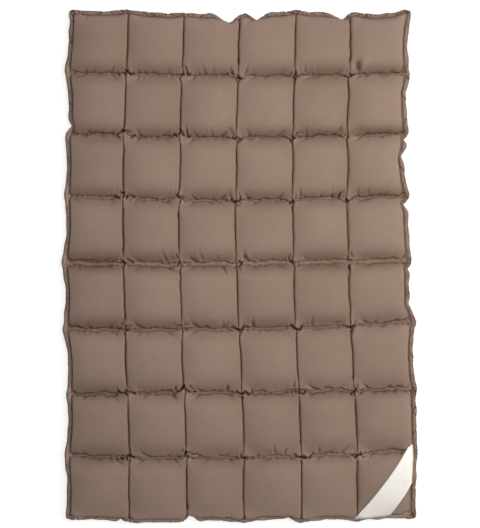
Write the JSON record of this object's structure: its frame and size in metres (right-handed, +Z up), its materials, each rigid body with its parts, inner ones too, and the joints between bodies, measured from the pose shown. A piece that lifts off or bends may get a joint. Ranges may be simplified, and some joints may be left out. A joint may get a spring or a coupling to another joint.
{
  "type": "baby duvet",
  "caption": "Quilted baby duvet lying face up: a grid of filled square pockets, a folded bias binding round the wavy edge, and a plain ribbon label across one corner.",
  "frame": {"origin": "middle of the footprint, on the surface that the duvet lies on", "axes": "+X to the right across the face, +Y towards the head edge along the duvet's length, +Z up, out of the face"},
  "size_m": [0.6918, 0.9979, 0.0364],
  "materials": {
    "taupe_cotton": "matt closely woven cotton with a faint sheen",
    "taupe_bias": "matt bias-cut cotton strip, folded and sewn",
    "cream_ribbon": "smooth cream woven ribbon"
  },
  "bodies": {
    "root": {"quilted_cover": "taupe_cotton", "edge_binding": "taupe_bias", "corner_label": "cream_ribbon"}
  },
  "joints": []
}
